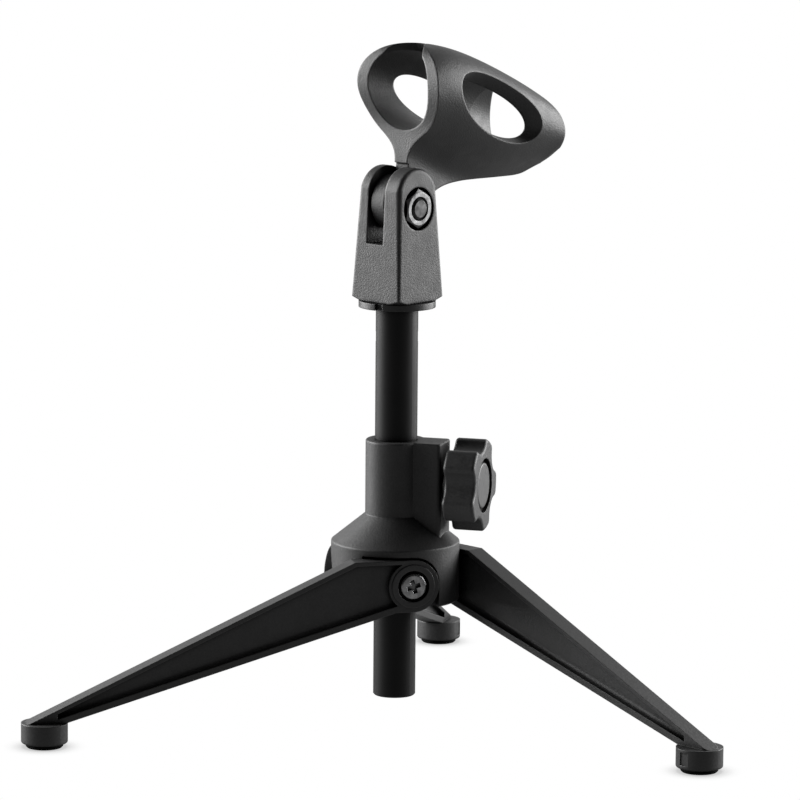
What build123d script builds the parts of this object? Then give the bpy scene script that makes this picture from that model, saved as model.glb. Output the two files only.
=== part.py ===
"""Desktop microphone stand: three folding legs, a clamped height tube and a tilting mic clip.

Millimetres, +Z up. The pieces are modelled round the tube's axis and saved with the origin on
the floor in the middle of the footprint. X runs along the clip's pivot bolt, and the
microphone goes in from the -Y side.
"""
import os
from math import cos, radians, sin

from build123d import *

os.makedirs("parts", exist_ok=True)

# ---------------------------------------------------------------- driving dimensions
running_fit = 0.05            # radial clearance between pieces that turn or slide
hub_turn = -3.0               # the hub stands a little turned against the clip head

# tube
tube_radius = 8.0
tube_bore = 6.8
tube_bottom = 9.0
tube_top = 157.8
tube_edge = 0.5
crimp_height = 146.5
crimp_length = 4.0
crimp_depth = 0.6
crimp_angle = 43.0
plug_length = 8.0

# hub
drum_radius = 24.3
drum_bottom = 46.3
drum_top = 68.6
collar_radius = 11.5
cone_top = 79.0
hub_top = 107.3
hub_edge = 0.8
collar_edge = 0.7

# clamp on the hub collar
clamp_angle = hub_turn + 30
clamp_height = 91.4
clamp_boss_reach = 19.4
clamp_boss_width = 14.6
clamp_boss_bottom = 70.0
clamp_boss_edge = 1.5
clamp_thread_radius = 3.0
clamp_insert_radius = 5.0
clamp_insert_start = 11.6
clamp_insert_length = 6.0
pad_radius = 3.6
pad_reach = 9.9

# clamp knob
knob_start = 22.5
knob_length = 12.3
knob_radius = 17.5
knob_lobes = 5
knob_rest_turn = -6.5         # how the knob happens to be turned, from a scallop straight up
scallop_radius = 7.0
scallop_centre = 20.3
scallop_round = 2.6
knob_edge = 1.2
knob_stem_radius = 7.0
knob_stem_start = 20.4
cap_recess_radius = 10.3
cap_recess_depth = 1.8
cap_radius = 8.7
cap_thickness = 1.4
cap_edge = 0.8

# legs, drawn in the upright plane each leg swings in: distance outward, height
leg_names = ("left", "right", "back")
leg_directions = (hub_turn + 240, hub_turn, hub_turn + 120)
leg_face = 24.8               # distance of a leg's outer face from the tube axis
leg_thickness = 7.3
leg_side_gap = 0.2
leg_head_gap = 0.9            # room round a leg's head in its pocket of the hub
leg_web = 2.8
leg_flange_top = 1.5
leg_flange_low = 2.5
leg_corner_round = 1.7        # soft inner corner above the lower flange
leg_pivot = (-1.0, 55.4)
leg_head_radius = 9.9
leg_shoulder = 21.5
leg_heel = 5.5
leg_underside_end = (131.0, 9.2)
leg_tip_corner = 2.4
leg_boss_radius = 8.2
leg_boss_rise = 0.4
leg_panel_start = 9.4
foot_reach = 138.5
foot_radius = 8.7
foot_bottom = 1.7
foot_top = 9.2
foot_edge = 0.7
foot_rim = 1.8
gate_width = 3.4              # small recess left by the moulding gate on a foot cup
gate_height = 4.8
gate_middle = 5.7
gate_depth = 0.5
foot_pad_radius = 7.0
foot_pad_socket = 1.6
foot_pad_edge = 0.5

# leg pivot screws
screw_radius = 2.5
screw_head_radius = 5.0
screw_head_height = 2.2
screw_head_edge = 1.0
screw_recess_length = 5.2
screw_recess_width = 1.7
screw_recess_depth = 1.5
screw_recess_turn = 17
screw_seat = 22.6
counterbore_radius = 6.0
screw_washer = 0.6
leg_insert_radius = 4.0
leg_insert_length = 6.4

# threaded top of the tube and the ring under the clip head
thread_radius = 7.9           # five-eighths inch microphone thread
stud_plug_length = 18.0
thread_top = 173.0
ring_radius = 14.5
ring_thickness = 2.4
ring_notch = 3.0
ring_notch_angle = 104.0

# yoke of the clip head
pivot_height = 195.6
yoke_bottom = tube_top + ring_thickness + 0.2
yoke_half = 12.35
yoke_half_top = 9.86
yoke_corner = 1.0
yoke_corner_top = 2.0
yoke_cone_radius = 14.2
ear_radius = 10.6
ear_rise = 4.4
ear_edge = 1.5
head_shift = -1.2             # the slot sits off centre, with the thicker ear round the nut
slot_width = 8.4
slot_floor = 182.2
nut_pocket_radius = 8.15
nut_pocket_floor = 6.7
head_pocket_floor = 8.1
yoke_insert_radius = 9.4

# pivot bolt through yoke and clip
bolt_radius = 4.0
bolt_end = 11.6
bolt_head_radius = 6.5
bolt_head_height = 2.6
bolt_socket = 5.0
bolt_socket_depth = 1.8
bolt_edge = 0.8
nut_across_flats = 13.0
nut_thickness = 4.5
friction_washer = 0.9
friction_washer_radius = 8.0

# clip, heights measured from the pivot
tongue_radius = 10.3
tongue_centre = (0.4, 1.6)
tongue_width = 6.4
seat_radius = 15.3
seat_tilt = 15.5
seat_mouth = (3.0, 44.4)      # where the seat axis meets the front face: along Y, height
seat_flare_start = 52.0
seat_flare_end = 78.0
seat_flare_half = 19.9
seat_flare_rise = 16.4
clip_corner_height = 60.5
slit_half = 1.3


def out(radius, angle, height=0.0):
    """Point at a distance from the tube axis in a compass direction."""
    return (radius * cos(radians(angle)), radius * sin(radians(angle)), height)


def leg_plane(direction, distance):
    """Upright plane along a leg, seen from its screw side: x outward along the leg, y up."""
    normal = direction + 90
    return Plane(origin=out(distance, normal), x_dir=out(1, direction), z_dir=out(-1, normal))


def foot_spot(direction):
    """Centre of a foot on the floor."""
    return leg_plane(direction, leg_middle).from_local_coords((foot_reach, 0, 0))


leg_middle = leg_face - leg_thickness / 2
foot_spots = [foot_spot(direction) for direction in leg_directions]
footprint_x = [spot.X for spot in foot_spots]
footprint_y = [spot.Y for spot in foot_spots]
tube_axis = (-(min(footprint_x) + max(footprint_x)) / 2, -(min(footprint_y) + max(footprint_y)) / 2, 0)


def save(part, name):
    """Label one piece, move it into the row's frame and write it as its own file."""
    placed = part.moved(Location(tube_axis))
    placed.label = name
    export_step(placed, f"parts/{name}.step")


# ---------------------------------------------------------------- tube and its end plug
with BuildPart() as tube:
    with BuildSketch(Plane.XY.offset(tube_bottom)):
        Circle(tube_radius)
        Circle(tube_bore, mode=Mode.SUBTRACT)
    extrude(amount=tube_top - tube_bottom)
    rims = tube.edges().filter_by(GeomType.CIRCLE).filter_by(lambda e: e.radius == tube_radius)
    chamfer(rims, tube_edge)
    # two punched crimps hold the threaded stud
    for side in (crimp_angle, crimp_angle + 180):
        with Locations(Plane(out(tube_radius, side, crimp_height), z_dir=(0, 0, 1))):
            Cylinder(2 * crimp_depth, crimp_length, mode=Mode.SUBTRACT)
save(tube.part, "tube")

with BuildPart() as tube_plug:
    with BuildSketch(Plane.XY.offset(tube_bottom)):
        Circle(tube_bore - running_fit)
    extrude(amount=plug_length)
save(tube_plug.part, "tube_plug")

# ---------------------------------------------------------------- threaded stud and lock ring
stud_bottom = tube_top - stud_plug_length
with BuildPart() as thread_stud:
    with BuildSketch(Plane.XY.offset(stud_bottom)):
        Circle(tube_bore - running_fit)
        # flats where the crimps bite
        for side in (crimp_angle, crimp_angle + 180):
            with Locations(Location(out(tube_radius, side), (0, 0, side))):
                Rectangle(2.2 * (tube_radius - tube_bore), 4.0, mode=Mode.SUBTRACT)
    extrude(amount=stud_plug_length)
    with BuildSketch(Plane.XY.offset(tube_top)):
        Circle(thread_radius)
    extrude(amount=thread_top - tube_top)
    chamfer(thread_stud.faces().sort_by(Axis.Z)[-1].edges(), 1.0)
save(thread_stud.part, "thread_stud")

with BuildPart() as lock_ring:
    with BuildSketch(Plane.XY.offset(tube_top)):
        Circle(ring_radius)
        Circle(thread_radius + running_fit, mode=Mode.SUBTRACT)
        # two spanner notches in the rim
        with PolarLocations(ring_radius, 2, start_angle=ring_notch_angle):
            Rectangle(ring_notch, ring_notch, mode=Mode.SUBTRACT)
    extrude(amount=ring_thickness)
save(lock_ring.part, "lock_ring")

# ---------------------------------------------------------------- hub
clamp_plane = Plane(origin=(0, 0, clamp_height), x_dir=out(1, clamp_angle + 90), z_dir=out(1, clamp_angle))


def screw_plane(direction, distance):
    """Plane across a leg's pivot screw, facing away from the tube."""
    along, height = leg_pivot
    axis = leg_plane(direction, distance)
    return Plane(origin=axis.from_local_coords((along, height, 0)),
                 x_dir=out(1, direction), z_dir=out(1, direction + 90))


pocket_floor = leg_face - leg_thickness - leg_side_gap
pivot_along, pivot_up = leg_pivot
head_top = pivot_up + leg_head_radius
head_low = pivot_up - leg_head_radius
leg_end = foot_reach + foot_radius - foot_rim

with BuildPart() as hub:
    with BuildSketch(Plane.XZ):
        with BuildLine():
            Polyline((0, drum_bottom), (drum_radius, drum_bottom), (drum_radius, drum_top),
                     (collar_radius, cone_top), (collar_radius, hub_top), (0, hub_top), close=True)
        make_face()
    revolve(axis=Axis.Z)
    rim = hub.edges().filter_by(GeomType.CIRCLE).filter_by(lambda e: e.radius > collar_radius)
    fillet(rim, hub_edge)
    # clamp boss growing out of the collar and the cone
    with BuildSketch(Plane.XY.offset(clamp_boss_bottom)):
        with Locations(Location(out(clamp_boss_reach / 2, clamp_angle), (0, 0, clamp_angle))):
            RectangleRounded(clamp_boss_reach, clamp_boss_width, clamp_boss_edge)
    extrude(amount=hub_top - clamp_boss_bottom)
    fillet(hub.faces().sort_by(Axis.Z)[-1].outer_wire().edges(), collar_edge)
    with BuildSketch(Plane.XY.offset(drum_bottom)):
        Circle(tube_radius + running_fit)
    extrude(amount=hub_top, mode=Mode.SUBTRACT)
    # one pocket per leg, open below and toward the leg
    for direction in leg_directions:
        with BuildSketch(leg_plane(direction, drum_radius + 10)):
            with BuildLine():
                back = pivot_along - leg_head_radius - leg_head_gap
                top = head_top + leg_head_gap
                Line((back, 0), (back, pivot_up))
                RadiusArc((back, pivot_up), (pivot_along, top), leg_head_radius + leg_head_gap)
                Polyline((pivot_along, top), (2 * drum_radius, top), (2 * drum_radius, 0), (back, 0))
            make_face()
        extrude(amount=drum_radius + 10 - pocket_floor, mode=Mode.SUBTRACT)
        with Locations(screw_plane(direction, pocket_floor)):
            Hole(leg_insert_radius, depth=leg_insert_length)
    # screw hole, insert seat and pad guide of the clamp
    with BuildSketch(clamp_plane):
        Circle(clamp_thread_radius + running_fit)
    extrude(amount=clamp_boss_reach, mode=Mode.SUBTRACT)
    with BuildSketch(clamp_plane):
        Circle(pad_radius + running_fit)
    extrude(amount=clamp_insert_start, mode=Mode.SUBTRACT)
    with BuildSketch(clamp_plane.offset(clamp_insert_start)):
        Circle(clamp_insert_radius)
    extrude(amount=clamp_boss_reach, mode=Mode.SUBTRACT)
save(hub.part, "hub")

# ---------------------------------------------------------------- height clamp
with BuildPart() as clamp_insert:
    with BuildSketch(clamp_plane.offset(clamp_insert_start)):
        Circle(clamp_insert_radius)
        Circle(clamp_thread_radius + running_fit, mode=Mode.SUBTRACT)
    extrude(amount=clamp_insert_length)
save(clamp_insert.part, "clamp_insert")

with BuildPart() as pressure_pad:
    with BuildSketch(clamp_plane):
        Circle(pad_radius)
    extrude(amount=pad_reach)
    with BuildSketch(Plane.XY.offset(clamp_height - 2 * pad_radius)):
        Circle(tube_radius + running_fit)
    extrude(amount=4 * pad_radius, mode=Mode.SUBTRACT)
save(pressure_pad.part, "pressure_pad")

knob_end = knob_start + knob_length
screw_end = knob_end - cap_recess_depth - 2.0
with BuildPart() as clamp_screw:
    with BuildSketch(clamp_plane.offset(pad_reach + running_fit)):
        Circle(clamp_thread_radius)
    extrude(amount=screw_end - pad_reach - running_fit)
save(clamp_screw.part, "clamp_screw")

with BuildPart() as clamp_knob:
    with BuildSketch(clamp_plane.offset(knob_start)):
        Circle(knob_radius)
        with PolarLocations(scallop_centre, knob_lobes, start_angle=180 / knob_lobes + knob_rest_turn):
            Circle(scallop_radius, mode=Mode.SUBTRACT)
        fillet(vertices(), scallop_round)
    extrude(amount=knob_length)
    across_knob = Axis(clamp_plane.origin, clamp_plane.z_dir)
    faces_along = clamp_knob.faces().sort_by(across_knob)
    fillet(faces_along[0].edges() + faces_along[-1].edges(), knob_edge)
    with BuildSketch(clamp_plane.offset(knob_end - cap_recess_depth)):
        Circle(cap_recess_radius)
    extrude(amount=cap_recess_depth, mode=Mode.SUBTRACT)
    with BuildSketch(clamp_plane.offset(knob_stem_start)):
        Circle(knob_stem_radius)
    extrude(amount=knob_start - knob_stem_start + knob_edge)
    with BuildSketch(clamp_plane.offset(knob_stem_start)):
        Circle(clamp_thread_radius)
    extrude(amount=screw_end - knob_stem_start, mode=Mode.SUBTRACT)
save(clamp_knob.part, "clamp_knob")

with BuildPart() as knob_cap:
    with BuildSketch(clamp_plane.offset(knob_end - cap_recess_depth)):
        Circle(cap_radius)
    extrude(amount=cap_thickness)
    fillet(knob_cap.faces().sort_by(across_knob)[-1].edges(), cap_edge)
save(knob_cap.part, "knob_cap")


# ---------------------------------------------------------------- legs and their feet
def underside(along):
    """Height of a leg's straight lower edge."""
    end_along, end_height = leg_underside_end
    slope = (end_height - head_low) / (end_along - leg_heel)
    return head_low + slope * (along - leg_heel)


def topside(along):
    """Height of a leg's straight upper edge."""
    slope = (foot_top - head_top) / (leg_end - leg_shoulder)
    return head_top + slope * (along - leg_shoulder)


def build_leg(direction):
    """One leg: round head, tapering arm with a web between two flanges, and a foot cup."""
    foot_centre = foot_spot(direction)
    with BuildPart() as leg:
        with BuildSketch(leg_plane(direction, leg_face)):
            with BuildLine():
                RadiusArc((pivot_along - leg_head_radius, pivot_up), (pivot_along, head_top), leg_head_radius)
                Polyline((pivot_along, head_top), (leg_shoulder, head_top), (leg_end, foot_top),
                         (leg_end, foot_bottom + foot_pad_socket), leg_underside_end,
                         (leg_heel, head_low), (pivot_along, head_low))
                RadiusArc((pivot_along, head_low), (pivot_along - leg_head_radius, pivot_up), leg_head_radius)
            make_face()
        extrude(amount=leg_thickness)
        # the panel between the flanges is sunk on both faces
        sink = (leg_thickness - leg_web) / 2
        finish = foot_reach - foot_radius / 2
        for face, depth in ((leg_face, sink), (leg_face - leg_thickness, -sink)):
            with BuildSketch(leg_plane(direction, face)):
                with BuildLine():
                    Polyline((pivot_along, underside(pivot_along) + leg_flange_low),
                             (finish, underside(finish) + leg_flange_low),
                             (finish, topside(finish) - leg_flange_top),
                             (leg_shoulder - leg_flange_top / 2, head_top - leg_flange_top),
                             (pivot_along, head_top - leg_flange_top), close=True)
                make_face()
                with Locations(leg_pivot):
                    Circle(leg_panel_start, mode=Mode.SUBTRACT)
            extrude(amount=depth, mode=Mode.SUBTRACT)
            # soft inner corner along the lower flange
            halfway = (leg_heel + finish) / 2
            web_face = leg_plane(direction, face).offset(depth)
            on_corner = web_face.from_local_coords((halfway, underside(halfway) + leg_flange_low, 0))
            fillet(leg.edges().sort_by_distance(on_corner)[0], leg_corner_round)
        # the arm's end is rounded in plan
        with BuildSketch(Plane.XY):
            with Locations(Location(leg_plane(direction, leg_middle).origin, (0, 0, direction))):
                RectangleRounded(2 * leg_end, leg_thickness, leg_tip_corner)
        extrude(amount=2 * leg_end, mode=Mode.INTERSECT)
        # foot cup
        with BuildSketch(Plane.XY.offset(foot_bottom)):
            with Locations(foot_centre):
                Circle(foot_radius)
        cup = extrude(amount=foot_top - foot_bottom)
        fillet(cup.faces().sort_by(Axis.Z)[0].edges(), foot_edge)
        with BuildSketch(Plane.XY.offset(foot_bottom)):
            with Locations(foot_centre):
                Circle(foot_pad_radius)
        extrude(amount=foot_pad_socket, mode=Mode.SUBTRACT)
        with BuildSketch(leg_plane(direction, leg_middle - foot_radius + gate_depth)):
            with Locations((foot_reach, gate_middle)):
                Rectangle(gate_width, gate_height)
        extrude(amount=2 * gate_depth, mode=Mode.SUBTRACT)
        # raised ring round the pivot screw, counterbored for the head
        with BuildSketch(screw_plane(direction, leg_face)):
            Circle(leg_boss_radius)
        extrude(amount=leg_boss_rise)
        with Locations(screw_plane(direction, leg_face + leg_boss_rise)):
            seat_depth = leg_face + leg_boss_rise - screw_seat
            CounterBoreHole(screw_radius + running_fit, counterbore_radius, seat_depth)
    return leg.part


def build_foot_pad(direction):
    """Rubber disc pressed into a foot cup."""
    with BuildPart() as pad:
        with BuildSketch(Plane.XY):
            with Locations(foot_spot(direction)):
                Circle(foot_pad_radius - running_fit)
        extrude(amount=foot_bottom + foot_pad_socket)
        chamfer(pad.faces().sort_by(Axis.Z)[0].edges(), foot_pad_edge)
    return pad.part


for leg_name, leg_direction in zip(leg_names, leg_directions):
    save(build_leg(leg_direction), f"leg_{leg_name}")
    save(build_foot_pad(leg_direction), f"foot_pad_{leg_name}")

# ---------------------------------------------------------------- leg pivot fasteners
washer_top = screw_seat + screw_washer
shank_end = pocket_floor - leg_insert_length + 0.5

with BuildPart() as leg_screws:
    for direction in leg_directions:
        with BuildSketch(screw_plane(direction, shank_end)):
            Circle(screw_radius)
        extrude(amount=washer_top - shank_end)
        with BuildSketch(screw_plane(direction, washer_top)):
            Circle(screw_head_radius)
        head = extrude(amount=screw_head_height)
        head_face = screw_plane(direction, washer_top + screw_head_height)
        fillet(head.faces().sort_by(Axis(head_face.origin, head_face.z_dir))[-1].edges(), screw_head_edge)
        # cross recess
        with BuildSketch(head_face):
            for turn in (screw_recess_turn, screw_recess_turn + 90):
                Rectangle(screw_recess_length, screw_recess_width, rotation=turn)
        extrude(amount=-screw_recess_depth, mode=Mode.SUBTRACT)
save(leg_screws.part, "leg_screws")

with BuildPart() as leg_washers:
    for direction in leg_directions:
        with BuildSketch(screw_plane(direction, screw_seat)):
            Circle(counterbore_radius - 0.2)
            Circle(screw_radius + running_fit, mode=Mode.SUBTRACT)
        extrude(amount=screw_washer)
save(leg_washers.part, "leg_washers")

with BuildPart() as leg_inserts:
    for direction in leg_directions:
        with BuildSketch(screw_plane(direction, pocket_floor - leg_insert_length)):
            Circle(leg_insert_radius)
            Circle(screw_radius + running_fit, mode=Mode.SUBTRACT)
        extrude(amount=leg_insert_length)
save(leg_inserts.part, "leg_inserts")

# ---------------------------------------------------------------- yoke
yoke_top = pivot_height + ear_rise + ear_radius + 1
head_middle = Plane(origin=(head_shift, 0, pivot_height), x_dir=(0, 1, 0), z_dir=(1, 0, 0))
pivot_side = Plane(origin=(0, 0, pivot_height), x_dir=(0, 1, 0), z_dir=(1, 0, 0))

with BuildPart() as yoke:
    # four tapering sides whose corners open out into a larger round at the top
    with BuildSketch(Plane.XY.offset(yoke_bottom)):
        RectangleRounded(2 * yoke_half, 2 * yoke_half, yoke_corner)
    with BuildSketch(Plane.XY.offset(yoke_top)):
        RectangleRounded(2 * yoke_half_top, 2 * yoke_half_top, yoke_corner_top)
    loft()
    # rounded ear tops
    with BuildSketch(pivot_side):
        with BuildLine():
            low = yoke_bottom - pivot_height - 1
            Polyline((-ear_radius, ear_rise), (-2 * ear_radius, low),
                     (2 * ear_radius, low), (ear_radius, ear_rise))
            RadiusArc((ear_radius, ear_rise), (-ear_radius, ear_rise), -ear_radius)
        make_face()
    extrude(amount=2 * yoke_half, both=True, mode=Mode.INTERSECT)
    # the corners run down to a round base
    with BuildSketch(Plane.XZ):
        with BuildLine():
            reach = yoke_cone_radius + 2 * (yoke_top - yoke_bottom)
            Polyline((0, yoke_bottom), (yoke_cone_radius, yoke_bottom),
                     (reach, yoke_top), (0, yoke_top), close=True)
        make_face()
    revolve(axis=Axis.Z, mode=Mode.INTERSECT)
    arch_start = pivot_height + ear_rise
    arches = yoke.edges().filter_by(lambda e: e.center().Z > arch_start and e.length > ear_radius)
    fillet(arches, ear_edge)
    # slot for the clip's tongue
    with BuildSketch(Plane.XY.offset(slot_floor)):
        with Locations((head_shift, 0)):
            Rectangle(slot_width, 3 * yoke_half)
    extrude(amount=yoke_top - slot_floor, mode=Mode.SUBTRACT)
    # pivot hole, nut pocket and head pocket
    with BuildSketch(pivot_side):
        Circle(bolt_radius + running_fit)
    extrude(amount=2 * yoke_half, both=True, mode=Mode.SUBTRACT)
    with BuildSketch(pivot_side.offset(nut_pocket_floor)):
        Circle(nut_pocket_radius)
    extrude(amount=yoke_half, mode=Mode.SUBTRACT)
    with BuildSketch(pivot_side.offset(-head_pocket_floor)):
        Circle(nut_pocket_radius)
    extrude(amount=-yoke_half, mode=Mode.SUBTRACT)
    # seat of the threaded insert
    with BuildSketch(Plane.XY.offset(yoke_bottom)):
        Circle(yoke_insert_radius)
    extrude(amount=thread_top - yoke_bottom + 0.5, mode=Mode.SUBTRACT)
save(yoke.part, "yoke")

with BuildPart() as yoke_insert:
    with BuildSketch(Plane.XY.offset(yoke_bottom)):
        Circle(yoke_insert_radius)
        Circle(thread_radius + running_fit, mode=Mode.SUBTRACT)
    extrude(amount=thread_top - yoke_bottom)
save(yoke_insert.part, "yoke_insert")

# ---------------------------------------------------------------- pivot bolt, nut and washers
with BuildPart() as clip_bolt:
    with BuildSketch(pivot_side.offset(-head_pocket_floor)):
        Circle(bolt_radius)
    extrude(amount=bolt_end + head_pocket_floor)
    chamfer(clip_bolt.faces().sort_by(Axis.X)[-1].edges(), bolt_edge)
    with BuildSketch(pivot_side.offset(-head_pocket_floor)):
        Circle(bolt_head_radius)
    extrude(amount=-bolt_head_height)
    fillet(clip_bolt.faces().sort_by(Axis.X)[0].edges(), bolt_edge)
    with BuildSketch(pivot_side.offset(-head_pocket_floor - bolt_head_height)):
        RegularPolygon(bolt_socket / 2, 6, major_radius=False)
    extrude(amount=bolt_socket_depth, mode=Mode.SUBTRACT)
save(clip_bolt.part, "clip_bolt")

with BuildPart() as clip_nut:
    with BuildSketch(pivot_side.offset(nut_pocket_floor)):
        RegularPolygon(nut_across_flats / 2, 6, major_radius=False, rotation=30)
    extrude(amount=nut_thickness)
    # the outer face is turned to a cone at the corners and countersunk at the thread
    with BuildSketch(Plane.XY.offset(pivot_height)):
        with BuildLine():
            face = nut_pocket_floor + nut_thickness
            Polyline((0, 0), (0, nut_across_flats), (face - 1.0, nut_across_flats),
                     (face - 1.0, nut_across_flats / 2 + 1.2), (face, nut_across_flats / 2 - 0.4),
                     (face, 0), close=True)
        make_face()
    revolve(axis=Axis((0, 0, pivot_height), (1, 0, 0)), mode=Mode.INTERSECT)
    with Locations(pivot_side.offset(nut_pocket_floor + nut_thickness)):
        CounterSinkHole(bolt_radius + running_fit, bolt_radius + 0.6)
save(clip_nut.part, "clip_nut")

with BuildPart() as clip_washers:
    for side in (1, -1):
        with BuildSketch(head_middle.offset(side * (tongue_width + running_fit) / 2)):
            Circle(friction_washer_radius)
            Circle(bolt_radius + running_fit, mode=Mode.SUBTRACT)
        extrude(amount=side * friction_washer)
save(clip_washers.part, "clip_washers")

# ---------------------------------------------------------------- microphone clip
seat_front, seat_rise = seat_mouth
seat_plane = Plane(origin=(head_shift, seat_front, pivot_height + seat_rise), x_dir=(1, 0, 0),
                   z_dir=(0, -cos(radians(seat_tilt)), sin(radians(seat_tilt))))
# lower edge of the web, from the tongue to the keel: along Y, height
web_start = (8.6, -4.6)
web_curve = ((15, 2.4), (21.6, 5.6), (31, 7.0))
web_end = (41, 7.2)
web_tangents = ((0.46, 0.82), (1, 0))
# station along Y, height of the keel, height of the crown, half width
hull_stations = (
    (-3.0, 23.5, 58.8, 20.2),
    (14.0, 17.5, 60.2, 21.6),
    (34.0, 9.6, 54.8, 21.8),
    (56.0, 7.0, 45.4, 21.0),
    (78.0, 6.5, 32.5, 19.3),
)
neck = tongue_width / 2


def hull_section(station, keel, crown, half):
    """Egg-shaped outline across the clip, necking down to the width of the tongue."""
    height = crown - keel
    across = Plane(origin=(head_shift, station, pivot_height), x_dir=(1, 0, 0), z_dir=(0, -1, 0))
    with BuildSketch(across) as section:
        with BuildLine():
            Spline((neck, keel - 6), (neck + 1.0, keel - 1.0), (0.36 * half, keel + 0.08 * height),
                   (0.63 * half, keel + 0.195 * height), (0.87 * half, keel + 0.36 * height),
                   (half, keel + 0.56 * height), (0.93 * half, keel + 0.78 * height),
                   (0.6 * half, keel + 0.94 * height), (0, crown),
                   tangents=((0, 1), (-1, 0)), tangent_scalars=(1, 1))
            Line((0, keel - 6), (neck, keel - 6))
            mirror(about=Plane.YZ)
        make_face()
    return section.sketch


def seat_section(depth, half, rise):
    """Opening of the seat at one depth behind the mouth."""
    with BuildSketch(seat_plane.offset(-depth)) as opening:
        Ellipse(half, rise)
    return opening.sketch


def window_outline(inset, along, rise, long_half, short_half):
    """Slanted ellipse on one side of the clip."""
    with BuildSketch(head_middle.offset(inset)) as outline:
        with Locations((along, rise)):
            Ellipse(long_half, short_half, rotation=-28)
    return outline.sketch


with BuildPart() as mic_clip:
    loft([hull_section(*station) for station in hull_stations])
    # web and tongue reaching down into the yoke
    with BuildSketch(head_middle):
        with Locations(tongue_centre):
            Circle(tongue_radius)
        with BuildLine():
            Polyline(web_end, (41, 30), (6, 30), (2.4, 8.5), (2.4, 0), web_start)
            Spline(web_start, *web_curve, web_end, tangents=web_tangents)
        make_face()
    extrude(amount=neck, both=True)
    # trim to the side profile
    with BuildSketch(head_middle):
        with BuildLine():
            Line((60, 6.9), web_end)
            Spline(web_start, *web_curve, web_end, tangents=web_tangents)
            Polyline(web_start, (8.6, -12), (-12, -12), (-12, 12.5), (2.4, 12.5), (3.0, 20))
            Spline((3.0, 20), (3.6, 29), (0.5, 46), (3.2, 56.5), (13.0, clip_corner_height),
                   tangents=((0.05, 1), (1, 0)))
            Line((13.0, clip_corner_height), (24, clip_corner_height))
            Spline((24, clip_corner_height), (50, 49.5), (64, 41), (72.2, 29), (73.4, 19.5), (71.5, 12),
                   (66.5, 7.9), (60, 6.9), tangents=((1, -0.15), (-1, -0.05)))
        make_face()
    extrude(amount=2 * seat_radius, both=True, mode=Mode.INTERSECT)
    # round seat for the microphone, its sides opening out toward the rear
    with BuildSketch(seat_plane.offset(seat_radius)):
        Circle(seat_radius)
    extrude(amount=-seat_radius - seat_flare_end, mode=Mode.SUBTRACT)
    loft([seat_section(seat_flare_start, seat_radius - 1.0, seat_radius - 1.2),
          seat_section(seat_flare_end, seat_flare_half, seat_flare_rise)], mode=Mode.SUBTRACT)
    # windows, narrower inside than outside
    for side in (1, -1):
        loft([window_outline(side * 12.0, 34.4, 34.4, 21.3, 6.4),
              window_outline(side * 26.0, 36.8, 36.6, 27.6, 13.9)], mode=Mode.SUBTRACT)
    # slit along the top, opening out at the mouth
    with BuildSketch(Plane(origin=(head_shift, 0, pivot_height + seat_rise + 7.0))):
        with BuildLine():
            Spline((slit_half, 18), (4, 11), (9, 4.5), (12.5, 0), tangents=((0, -1), (0.9, -1)))
            Polyline((12.5, 0), (12.5, -6), (0, -6))
            Polyline((0, 90), (slit_half, 90), (slit_half, 18))
            mirror(about=Plane.YZ)
        make_face()
    extrude(amount=2 * seat_radius, mode=Mode.SUBTRACT)
    with BuildSketch(head_middle):
        Circle(bolt_radius + running_fit)
    extrude(amount=2 * neck, both=True, mode=Mode.SUBTRACT)
save(mic_clip.part, "mic_clip")
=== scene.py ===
"""Looks of the desktop microphone stand: finishes of its moulded, coated and plated pieces, a pale
floor, soft lights at both sides and the camera. Lengths are metres in the frame of the CAD part."""

import math

import bpy
from mathutils import Matrix, Vector


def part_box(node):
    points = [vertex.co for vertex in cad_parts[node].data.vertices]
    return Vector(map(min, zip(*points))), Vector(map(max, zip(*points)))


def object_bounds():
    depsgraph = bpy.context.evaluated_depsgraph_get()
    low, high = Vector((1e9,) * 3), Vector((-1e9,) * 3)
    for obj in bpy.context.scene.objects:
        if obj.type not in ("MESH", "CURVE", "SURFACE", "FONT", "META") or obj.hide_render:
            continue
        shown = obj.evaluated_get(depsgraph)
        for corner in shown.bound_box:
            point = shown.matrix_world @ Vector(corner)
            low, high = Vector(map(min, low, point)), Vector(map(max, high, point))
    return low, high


MM = 0.001
WHITE = (1, 1, 1, 1)
BLACK = (0, 0, 0)

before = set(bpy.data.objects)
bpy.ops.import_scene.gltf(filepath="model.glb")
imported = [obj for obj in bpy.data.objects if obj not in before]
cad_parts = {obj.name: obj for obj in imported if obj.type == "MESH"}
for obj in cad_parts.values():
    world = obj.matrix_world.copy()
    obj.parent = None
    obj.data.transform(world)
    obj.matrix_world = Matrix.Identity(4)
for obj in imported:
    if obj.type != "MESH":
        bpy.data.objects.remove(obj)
cad_low, cad_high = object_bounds()
tube_low, tube_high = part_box("tube")
tube_axis = (tube_low + tube_high) / 2
stand_middle = Vector((tube_axis.x, tube_axis.y, cad_high.z / 2))

# The directions that the camera and the lights share.
view_azimuth = math.radians(43.0)
view_elevation = math.radians(9.43)
ahead = Vector((-math.sin(view_azimuth), math.cos(view_azimuth), 0))
right = Vector((math.cos(view_azimuth), math.sin(view_azimuth), 0))
up = Vector((0, 0, 1))


# ---------------------------------------------------------------- shader building blocks

def new_material(name):
    """An empty node material, with its tree and its output node."""
    material = bpy.data.materials.new(name)
    material.use_nodes = True
    tree = material.node_tree
    tree.nodes.clear()
    output = tree.nodes.new("ShaderNodeOutputMaterial")
    return material, tree, output


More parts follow.
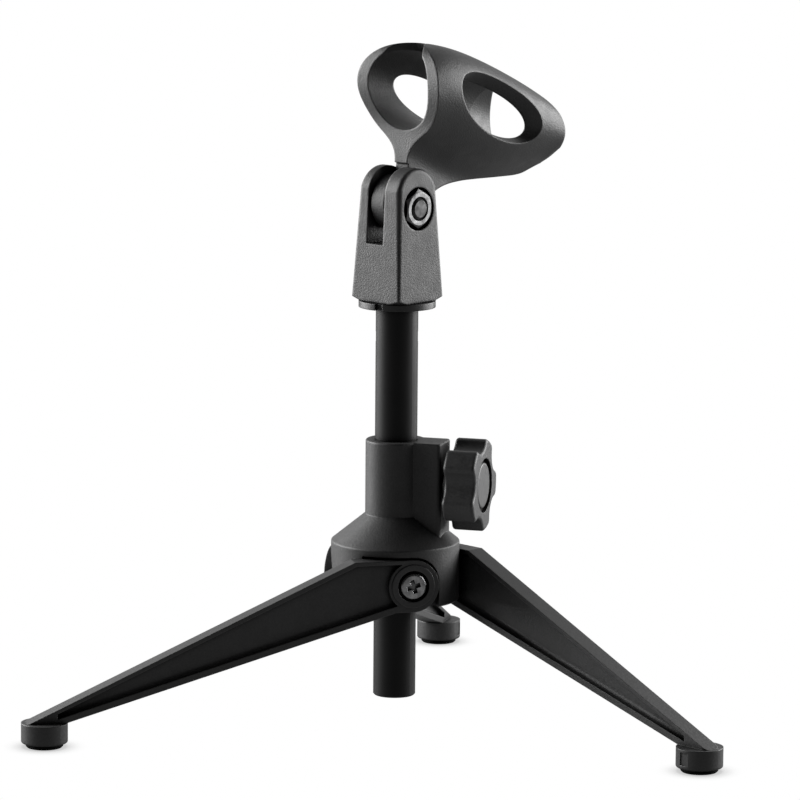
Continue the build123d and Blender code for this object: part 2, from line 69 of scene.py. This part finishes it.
def noise(tree, size, detail=3.0, stretch=(1, 1, 1)):
    """Noise with features of the given size, drawn out along the axes that have a small stretch."""
    place = tree.nodes.new("ShaderNodeTexCoord")
    scaling = tree.nodes.new("ShaderNodeMapping")
    scaling.inputs["Scale"].default_value = stretch
    texture = tree.nodes.new("ShaderNodeTexNoise")
    texture.inputs["Scale"].default_value = 1 / size
    texture.inputs["Detail"].default_value = detail
    tree.links.new(place.outputs["Object"], scaling.inputs["Vector"])
    tree.links.new(scaling.outputs["Vector"], texture.inputs["Vector"])
    return texture.outputs["Fac"]


def remap(tree, value, low, high, start=0.35, end=0.65):
    """A value between start and end moved to lie between low and high."""
    node = tree.nodes.new("ShaderNodeMapRange")
    node.inputs["From Min"].default_value = start
    node.inputs["From Max"].default_value = end
    node.inputs["To Min"].default_value = low
    node.inputs["To Max"].default_value = high
    tree.links.new(value, node.inputs["Value"])
    return node.outputs["Result"]


def arithmetic(tree, operation, first, second):
    """The result of one operation on two values, each a socket or a number."""
    node = tree.nodes.new("ShaderNodeMath")
    node.operation = operation
    for socket, value in zip(node.inputs, (first, second)):
        if isinstance(value, (int, float)):
            socket.default_value = value
        else:
            tree.links.new(value, socket)
    return node.outputs["Value"]


def total(tree, first, *others):
    """The sum of values, added in the order given."""
    result = first
    for value in others:
        result = arithmetic(tree, "ADD", result, value)
    return result


def scaled(tone, factor, lift=0.0):
    """A colour made darker or paler by a factor, and lifted by a fixed amount."""
    return tuple(channel * factor + lift for channel in tone)


def mixed_colour(tree, share, first, second):
    """First colour where the share is 0, second where it is 1. Each is a socket or a colour."""
    node = tree.nodes.new("ShaderNodeMix")
    node.data_type = "RGBA"
    tree.links.new(share, node.inputs["Factor"])
    # The node repeats its sockets for every data type, so the colour ones are picked by their type.
    colour_inputs = [socket for socket in node.inputs if socket.type == "RGBA"]
    for socket, value in zip(colour_inputs, (first, second)):
        if isinstance(value, tuple):
            socket.default_value = (*value, 1)
        else:
            tree.links.new(value, socket)
    return next(socket for socket in node.outputs if socket.type == "RGBA")


def rounded_normal(tree, radius):
    """The normal with every edge rounded to the radius, as moulds and plating leave it."""
    node = tree.nodes.new("ShaderNodeBevel")
    node.samples = 6
    node.inputs["Radius"].default_value = radius
    return node.outputs["Normal"]


def edge_mask(tree, soft_normal):
    """0 on open faces, rising to 1 along edges, where the rounded normal leaves the face's own."""
    geometry = tree.nodes.new("ShaderNodeNewGeometry")
    dot = tree.nodes.new("ShaderNodeVectorMath")
    dot.operation = "DOT_PRODUCT"
    tree.links.new(soft_normal, dot.inputs[0])
    tree.links.new(geometry.outputs["Normal"], dot.inputs[1])
    return remap(tree, dot.outputs["Value"], 1.0, 0.0, start=0.80, end=0.99)


def bumped(tree, height, depth, normal, strength=1.0):
    """The normal with a height pattern of the given depth laid over it."""
    node = tree.nodes.new("ShaderNodeBump")
    node.inputs["Strength"].default_value = strength
    node.inputs["Distance"].default_value = depth
    tree.links.new(height, node.inputs["Height"])
    tree.links.new(normal, node.inputs["Normal"])
    return node.outputs["Normal"]


def openness(tree, reach, samples):
    """1 on open faces, falling where other faces stand closer than the reach."""
    node = tree.nodes.new("ShaderNodeAmbientOcclusion")
    node.samples = samples
    node.inputs["Distance"].default_value = reach
    return node.outputs["AO"]


def painted_crevice_shade(tree):
    """Painted shade: 1 on open faces, falling in slots, recesses and corners a few millimetres wide,
    where shade falls.
    """
    return remap(tree, openness(tree, 4 * MM, samples=6), 0.08, 1.0, start=0.42, end=0.85)


def by_camera(tree, output, for_camera, for_others):
    """One shader for what the camera sees, another for the light that everything else receives."""
    path = tree.nodes.new("ShaderNodeLightPath")
    choice = tree.nodes.new("ShaderNodeMixShader")
    tree.links.new(path.outputs["Is Camera Ray"], choice.inputs["Fac"])
    tree.links.new(for_others, choice.inputs[1])
    tree.links.new(for_camera, choice.inputs[2])
    tree.links.new(choice.outputs["Shader"], output.inputs["Surface"])


def finish_shader(tree, output, colour, roughness, normal, metallic=0.0, specular=0.5):
    """The principled shader that every finish ends in, with painted shade darkening its colour and
    reflection in crevices.
    """
    painted_shade = painted_crevice_shade(tree)
    shader = tree.nodes.new("ShaderNodeBsdfPrincipled")
    shader.inputs["Metallic"].default_value = metallic
    # Painted shade: the reflection and the colour are both darkened in crevices.
    tree.links.new(arithmetic(tree, "MULTIPLY", painted_shade, specular), shader.inputs["Specular IOR Level"])
    tree.links.new(mixed_colour(tree, painted_shade, BLACK, colour), shader.inputs["Base Color"])
    tree.links.new(roughness, shader.inputs["Roughness"])
    tree.links.new(normal, shader.inputs["Normal"])
    tree.links.new(shader.outputs["BSDF"], output.inputs["Surface"])


# ---------------------------------------------------------------- finishes

def moulded_plastic(name, tone, roughness, grain, depth, edge_radius=0.5 * MM):
    """Black plastic with spark-eroded grain, faint flow marks, handling sheen, and edges paler partly
    from wear and partly as a painted highlight.
    """
    material, tree, output = new_material(name)
    soft_normal = rounded_normal(tree, edge_radius)
    edges = edge_mask(tree, soft_normal)
    grain_height = noise(tree, grain, detail=2.0)
    flow = noise(tree, 14 * MM, detail=4.0, stretch=(1, 1, 0.4))
    handling = noise(tree, 5 * MM, detail=5.0)

    grain_share = 0.6
    speckle = arithmetic(tree, "MULTIPLY", remap(tree, grain_height, 0, 1), grain_share)
    cloud = arithmetic(tree, "MULTIPLY", remap(tree, flow, 0, 1), 1 - grain_share)
    base = mixed_colour(tree, total(tree, speckle, cloud), scaled(tone, 0.72), scaled(tone, 1.28))
    # Paler edges: partly wear, partly a painted highlight along the creases.
    wear_and_highlight = arithmetic(tree, "MULTIPLY", edges, remap(tree, handling, 0.25, 0.9))
    colour = mixed_colour(tree, wear_and_highlight, base, scaled(tone, 2.2, lift=0.02))

    worn_smoother = 0.08
    polish = remap(tree, handling, -0.04, 0.04)
    fleck = remap(tree, grain_height, -0.03, 0.03)
    unworn = total(tree, polish, fleck, roughness)
    gloss = arithmetic(tree, "SUBTRACT", unworn, arithmetic(tree, "MULTIPLY", wear_and_highlight, worn_smoother))

    normal = bumped(tree, grain_height, depth, soft_normal)
    finish_shader(tree, output, colour, gloss, normal)
    return material


def powder_coat(name, tone, roughness):
    """Satin black coating on steel: fine orange peel, and rubbed lines where the collars slide."""
    material, tree, output = new_material(name)
    soft_normal = rounded_normal(tree, 0.3 * MM)
    edges = edge_mask(tree, soft_normal)
    peel = noise(tree, 0.8 * MM, detail=1.0)
    rubbed = noise(tree, 0.9 * MM, detail=4.0, stretch=(1, 1, 0.03))
    patches = noise(tree, 18 * MM, detail=3.0)

    thin_coat = (0.09, 0.09, 0.09)
    thinned = arithmetic(tree, "MULTIPLY", edges, 0.8)
    base = mixed_colour(tree, remap(tree, patches, 0, 1), scaled(tone, 0.8), scaled(tone, 1.3))
    colour = mixed_colour(tree, thinned, base, thin_coat)

    lines = remap(tree, rubbed, 0, -0.07, start=0.55, end=0.75)
    gloss = total(tree, remap(tree, patches, -0.03, 0.03), roughness, lines)
    normal = bumped(tree, peel, 0.012 * MM, soft_normal, strength=0.6)
    finish_shader(tree, output, colour, gloss, normal, specular=0.2)
    return material


def plated_metal(name, tone, stain, roughness, brushing):
    """Metal with fine turning marks along one axis, slight stains and brighter rubbed edges."""
    material, tree, output = new_material(name)
    soft_normal = rounded_normal(tree, 0.25 * MM)
    edges = edge_mask(tree, soft_normal)
    marks = noise(tree, 0.35 * MM, detail=3.0, stretch=brushing)
    stains = noise(tree, 2.5 * MM, detail=5.0)

    base = mixed_colour(tree, remap(tree, stains, 0, 1), stain, tone)
    colour = mixed_colour(tree, edges, base, scaled(tone, 1.35))
    streaks = remap(tree, marks, -0.06, 0.08)
    gloss = total(tree, remap(tree, stains, 0.05, -0.03), streaks, roughness)
    normal = bumped(tree, marks, 0.008 * MM, soft_normal, strength=0.7)
    finish_shader(tree, output, colour, gloss, normal, metallic=1.0)
    return material


def rubber(name, tone, roughness):
    """Matt rubber: a pebbled skin, pale dust that clings to it, and scuffs along its edges."""
    material, tree, output = new_material(name)
    soft_normal = rounded_normal(tree, 0.5 * MM)
    edges = edge_mask(tree, soft_normal)
    pebbles = noise(tree, 0.5 * MM, detail=4.0)
    dust = noise(tree, 3 * MM, detail=6.0)

    dusty = scaled(tone, 2.4, lift=0.004)
    clinging = remap(tree, dust, 0.0, 0.7, start=0.45, end=0.75)
    share = arithmetic(tree, "MAXIMUM", clinging, arithmetic(tree, "MULTIPLY", edges, 0.5))
    colour = mixed_colour(tree, share, tone, dusty)
    gloss = total(tree, remap(tree, pebbles, -0.08, 0.08), roughness)
    normal = bumped(tree, pebbles, 0.04 * MM, soft_normal)
    finish_shader(tree, output, colour, gloss, normal, specular=0.3)
    return material


def grey(value):
    """A neutral grey, a trace cooler so that black plastic doesn't look brown."""
    return (value, value, value * 1.01)


# Plastics: name, tone, roughness, size and depth of the grain, and the edge radius if not 0.5 mm.
# Coat and rubber: name, tone, roughness.
# Metals: name, tone, tone of the stains, roughness, and the stretch of the turning marks.
finishes = {
    "head_plastic": moulded_plastic("head_grain", grey(0.026), 0.48, 0.55 * MM, 0.12 * MM, 0.9 * MM),
    "hub_plastic": moulded_plastic("hub_grain", grey(0.024), 0.52, 0.70 * MM, 0.08 * MM),
    "leg_plastic": moulded_plastic("leg_satin", grey(0.026), 0.46, 0.90 * MM, 0.04 * MM),
    "knob_plastic": moulded_plastic("knob_satin", grey(0.036), 0.46, 0.80 * MM, 0.04 * MM),
    "cap_plastic": moulded_plastic("cap_satin", grey(0.070), 0.40, 0.80 * MM, 0.020 * MM),
    "inner_plastic": moulded_plastic("inner_matt", grey(0.012), 0.55, 0.50 * MM, 0.020 * MM),
    "dark_ring": moulded_plastic("ring_satin", grey(0.012), 0.42, 0.50 * MM, 0.015 * MM),
    "tube_coat": powder_coat("tube_satin", grey(0.006), 0.50),
    "pad_rubber": rubber("pad_matt", grey(0.008), 0.78),
    "bright_steel": plated_metal("nickel", grey(0.16), grey(0.09), 0.36, (1, 0.2, 0.2)),
    "dark_steel": plated_metal("blackened", grey(0.07), grey(0.035), 0.38, (1, 1, 0.25)),
    "insert_brass": plated_metal("brass", (0.72, 0.50, 0.22), (0.45, 0.30, 0.13), 0.30, (1, 1, 0.15)),
}

# The leg screws share their slot with the leg washers, the clamp screw and the bolt, but are paler.
screw_finish = plated_metal("zinc", grey(0.36), grey(0.20), 0.26, (1, 1, 0.25))

for name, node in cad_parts.items():
    for slot in node.material_slots:
        slot.material = screw_finish if name == "leg_screws" else finishes[slot.material.name]


# ---------------------------------------------------------------- floor

def pale_floor():
    """A wide white floor with a painted contact shadow only where a foot stands on it, and that the
    camera sees through to any piece folded below it."""
    material, tree, output = new_material("pale_floor")
    contact_shadow_reach = 8 * MM
    bounced_light = 0.34
    # Painted contact shadow: the floor that the camera sees is darkened where feet stand close to it.
    tone = remap(tree, openness(tree, contact_shadow_reach, samples=8), 0.6, 1.0, start=0.40, end=0.92)
    seen = tree.nodes.new("ShaderNodeBsdfTransparent")
    tree.links.new(tone, seen.inputs["Color"])
    lit = tree.nodes.new("ShaderNodeEmission")
    lit.inputs["Strength"].default_value = bounced_light
    by_camera(tree, output, seen.outputs["BSDF"], lit.outputs["Emission"])

    reach = 4.0
    mesh = bpy.data.meshes.new("floor")
    corners = [(-reach, -reach, 0), (reach, -reach, 0), (reach, reach, 0), (-reach, reach, 0)]
    mesh.from_pydata(corners, [], [(0, 1, 2, 3)])
    floor = bpy.data.objects.new("floor", mesh)
    floor.data.materials.append(material)
    bpy.context.scene.collection.objects.link(floor)


pale_floor()


# ---------------------------------------------------------------- light

def soft_box(name, towards, height, width, tall, radiance, distance=0.9):
    """A rectangular light beside the stand, facing its middle, with an even brightness."""
    data = bpy.data.lights.new(name, "AREA")
    data.shape = "RECTANGLE"
    data.size = width
    data.size_y = tall
    data.energy = radiance * math.pi * width * tall
    light = bpy.data.objects.new(name, data)
    place = Vector((tube_axis.x, tube_axis.y, height)) + towards.normalized() * distance
    light.location = place
    light.rotation_euler = (stand_middle - place).to_track_quat("-Z", "Y").to_euler()
    bpy.context.scene.collection.objects.link(light)


# Both lights are a little beyond the stand, so that the faces turned to the camera stay dark.
soft_box("left_soft_box", -right + 0.36 * ahead, height=0.35, width=0.85, tall=0.85, radiance=9.5)
soft_box("right_soft_box", right + 0.42 * ahead, height=0.32, width=0.80, tall=0.75, radiance=8.0)


def studio_world():
    """White to the camera; to the stand it is pale behind, dim above and dark behind the camera."""
    world = bpy.data.worlds.new("studio")
    world.use_nodes = True
    tree = world.node_tree
    tree.nodes.clear()
    output = tree.nodes.new("ShaderNodeOutputWorld")
    place = tree.nodes.new("ShaderNodeTexCoord")
    facing = tree.nodes.new("ShaderNodeVectorMath")
    facing.operation = "DOT_PRODUCT"
    facing.inputs[1].default_value = ahead
    tree.links.new(place.outputs["Generated"], facing.inputs[0])
    room_tone = remap(tree, facing.outputs["Value"], 0.03, 0.75, start=-0.1, end=0.9)
    room = tree.nodes.new("ShaderNodeBackground")
    tree.links.new(room_tone, room.inputs["Strength"])
    seen = tree.nodes.new("ShaderNodeBackground")
    seen.inputs["Color"].default_value = WHITE
    by_camera(tree, output, seen.outputs["Background"], room.outputs["Background"])
    bpy.context.scene.world = world


studio_world()
bpy.context.scene.view_settings.view_transform = "Standard"


# ---------------------------------------------------------------- camera

def viewing_camera():
    """A long lens a little above the table, turned to see the knob's end and both front feet."""
    focus_height = 0.12212
    distance = 2.0
    lean = math.radians(0.45)
    data = bpy.data.cameras.new("camera")
    data.lens = 239.08
    data.sensor_width = 36
    data.shift_x = 0.0045
    camera = bpy.data.objects.new("camera", data)
    bpy.context.scene.collection.objects.link(camera)
    focus = Vector((tube_axis.x, tube_axis.y, focus_height))
    level = math.cos(view_elevation)
    sight = ahead * level - up * math.sin(view_elevation)
    turn = Matrix.Rotation(view_azimuth, 4, "Z")
    tilt = Matrix.Rotation(math.pi / 2 - view_elevation, 4, "X")
    roll = Matrix.Rotation(lean, 4, "Z")
    camera.matrix_world = Matrix.Translation(focus - sight * distance) @ turn @ tilt @ roll
    bpy.context.scene.camera = camera


viewing_camera()
